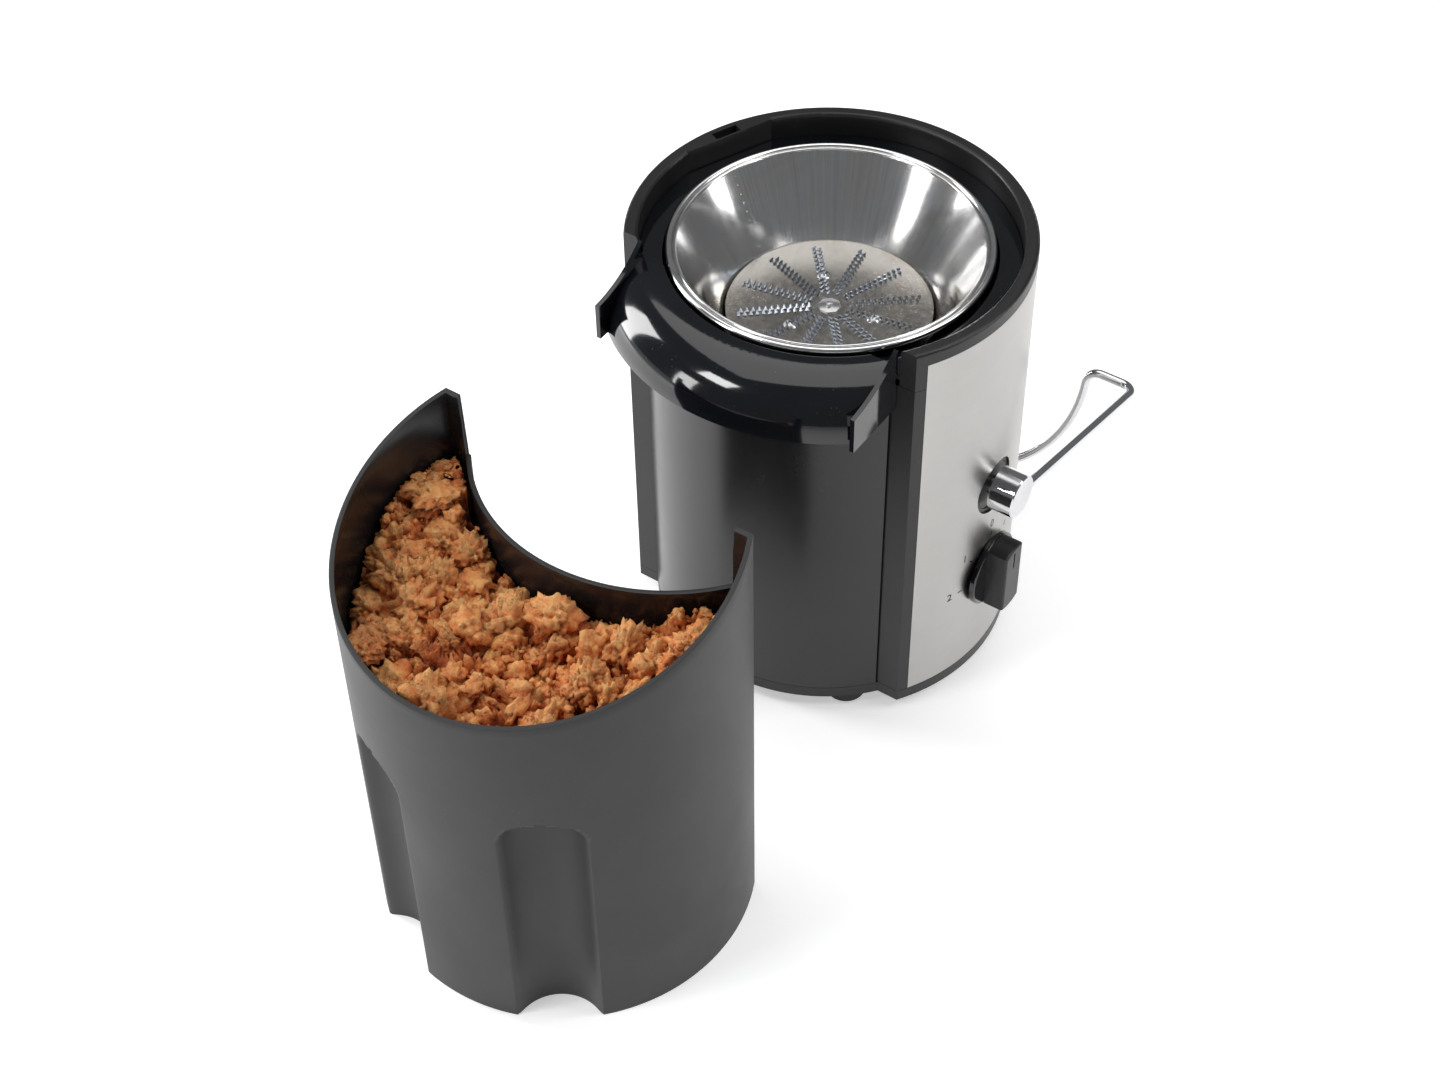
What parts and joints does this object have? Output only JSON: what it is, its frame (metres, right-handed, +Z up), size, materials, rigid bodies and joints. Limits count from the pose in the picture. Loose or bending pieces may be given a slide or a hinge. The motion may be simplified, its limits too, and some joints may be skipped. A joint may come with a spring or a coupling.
{
  "type": "centrifugal juicer",
  "caption": "Drum-shaped centrifugal juicer in black and brushed steel, lid off, with a spinning filter basket, wire locking bail, speed knob and a drawn-out pulp container.",
  "frame": {"origin": "on the table, under the middle of the whole set at rest; the drum's axis stands 81 mm towards +Y", "axes": "+Z up along the drum's axis; -Y towards the pulp container; +X towards the side with the speed knob"},
  "size_m": [0.199, 0.3974, 0.212],
  "materials": {
    "steel_sheet": "brushed vertically, satin",
    "polished_steel": "polished",
    "chrome_wire": "mirror chrome plate",
    "black_gloss": "high gloss",
    "black_satin": "satin, finely textured",
    "grey_tub": "satin dark grey",
    "black_rubber": "matt",
    "inner_moulding": "matt",
    "steel_part": "machined",
    "laminations": "pressed stack",
    "copper_winding": "varnished copper wire",
    "carbon": "pressed carbon",
    "bronze": "sintered",
    "green_board": "lacquered board",
    "fruit_pulp": "wet fibrous pulp"
  },
  "bodies": {
    "housing": {"base_plate": "black_satin", "feet": "black_rubber", "base_screws": "steel_part", "housing_frame": "black_satin", "steel_wrap": "steel_sheet", "dock_panel": "black_gloss", "pivot_cups": "black_satin", "top_ring": "black_satin", "interlock_switch": "inner_moulding", "motor_deck": "inner_moulding", "deck_screws": "steel_part", "shaft_seal": "black_rubber", "juice_spout": "black_gloss", "cord_gland": "black_rubber", "lower_bearing": "steel_part", "upper_bearing": "steel_part", "stator_core": "laminations", "field_coils": "copper_winding", "lower_bracket": "steel_part", "upper_bracket": "steel_part", "through_bolts": "steel_part", "bolt_spacers": "steel_part", "brushes": "carbon", "brush_holders": "bronze", "brush_springs": "steel_part", "motor_mounts": "black_rubber", "speed_switch": "inner_moulding", "control_board": "green_board", "bail_bushes": "bronze"},
    "rotor": {"motor_shaft": "steel_part", "rotor_core": "laminations", "rotor_windings": "copper_winding", "commutator": "copper_winding", "cooling_fan": "inner_moulding", "drive_coupling": "black_satin"},
    "bowl": {"filter_bowl": "black_gloss"},
    "basket": {"grater_disc": "polished_steel", "basket_cone": "polished_steel", "basket_rim": "polished_steel", "basket_base": "black_satin", "disc_screws": "polished_steel"},
    "knob": {"speed_knob": "black_satin", "knob_skirt": "black_gloss", "knob_spindle": "steel_part"},
    "bail": {"locking_bail": "chrome_wire", "bail_boss_right": "chrome_wire", "bail_boss_left": "chrome_wire", "bail_pins": "steel_part"},
    "interlock": {"interlock_plunger": "black_satin"},
    "container": {"pulp_container": "grey_tub"}
  },
  "joints": [
    {"name": "rotor_spin", "type": "hinge", "parent": "housing", "child": "rotor", "pos_m": [0, 0.081, 0.1], "axis": [0, 0, 1], "continuous": true},
    {"name": "bowl_lift", "type": "slide", "parent": "housing", "child": "bowl", "axis": [0, 0, 1], "range_m": [0, 0.09]},
    {"name": "basket_spin", "type": "hinge", "parent": "bowl", "child": "basket", "pos_m": [0, 0.081, 0.17], "axis": [0, 0, 1], "continuous": true},
    {"name": "knob_turn", "type": "hinge", "parent": "housing", "child": "knob", "pos_m": [0.09, 0.081, 0.06], "axis": [1, 0, 0], "range_deg": [-45, 90]},
    {"name": "bail_swing", "type": "hinge", "parent": "housing", "child": "bail", "pos_m": [0, 0.081, 0.11], "axis": [1, 0, 0], "range_deg": [0, 102.5]},
    {"name": "interlock_press", "type": "slide", "parent": "housing", "child": "interlock", "axis": [0, 0, -1], "range_m": [0, 0.003], "stiffness_N_per_m": 200, "springref_m": -0.002},
    {"name": "container_slide", "type": "slide", "parent": "housing", "child": "container", "axis": [0, 1, 0], "range_m": [0, 0.1155]}
  ],
  "couplings": [
    {"joint": "basket_spin", "follows": "rotor_spin", "ratio": 1}
  ]
}
